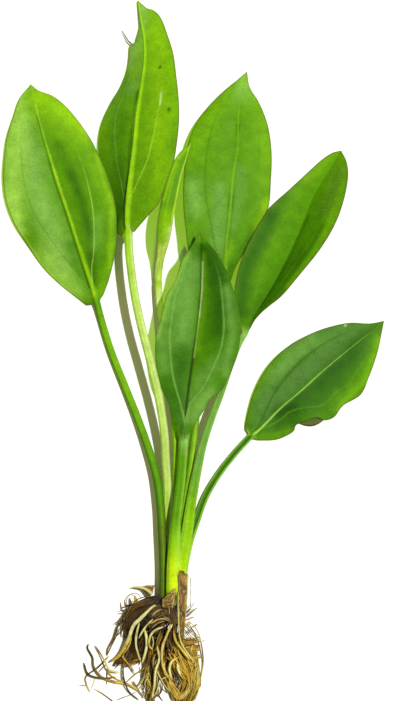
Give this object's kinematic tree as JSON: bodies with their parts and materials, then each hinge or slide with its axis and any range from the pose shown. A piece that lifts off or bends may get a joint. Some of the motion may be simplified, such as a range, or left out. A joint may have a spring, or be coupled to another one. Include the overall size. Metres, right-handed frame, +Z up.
{
  "type": "amazon sword plant",
  "caption": "Bare-rooted amazon sword plant lying flat: broad pointed leaves on long stalks fan out from a short brown crown, with fine tangled roots below it.",
  "frame": {"origin": "The middle of the crown's flat underside, on the surface that the plant lies on.", "axes": "+Y runs from the crown along the plant to the tip of the tallest leaf, +X is to the right seen from above, and +Z is up from the surface."},
  "size_m": [0.152, 0.2838, 0.0234],
  "materials": {
    "leaf_green": "satin",
    "leaf_young": "satin",
    "leaf_dark": "satin",
    "crown": "matte",
    "dry_leaf": "matte",
    "root_cream": "satin",
    "root_ochre": "satin",
    "root_brown": "matte",
    "root_mat": "matte"
  },
  "bodies": {
    "root": {"leaf_left": "leaf_green", "leaf_tall": "leaf_young", "leaf_folded": "leaf_young", "leaf_middle": "leaf_green", "leaf_front": "leaf_dark", "leaf_right": "leaf_dark", "leaf_low": "leaf_dark", "crown": "crown", "old_leaf_base": "dry_leaf", "torn_sheath": "dry_leaf", "dry_scale": "dry_leaf", "root_knotted": "root_cream", "root_2": "root_cream", "root_3": "root_cream", "root_4": "root_cream", "root_hooked": "root_cream", "root_6": "root_cream", "root_7": "root_ochre", "root_8": "root_cream", "root_9": "root_cream", "root_10": "root_brown", "root_11": "root_brown", "root_12": "root_brown", "root_13": "root_brown", "root_14": "root_brown", "root_15": "root_cream", "root_16": "root_ochre", "root_17": "root_ochre", "root_18": "root_cream", "root_outer": "root_ochre", "root_20": "root_cream", "root_21": "root_brown", "root_stub": "root_brown", "root_mat_right": "root_mat", "root_mat_middle": "root_mat", "root_tuft_right": "root_mat"}
  },
  "joints": []
}
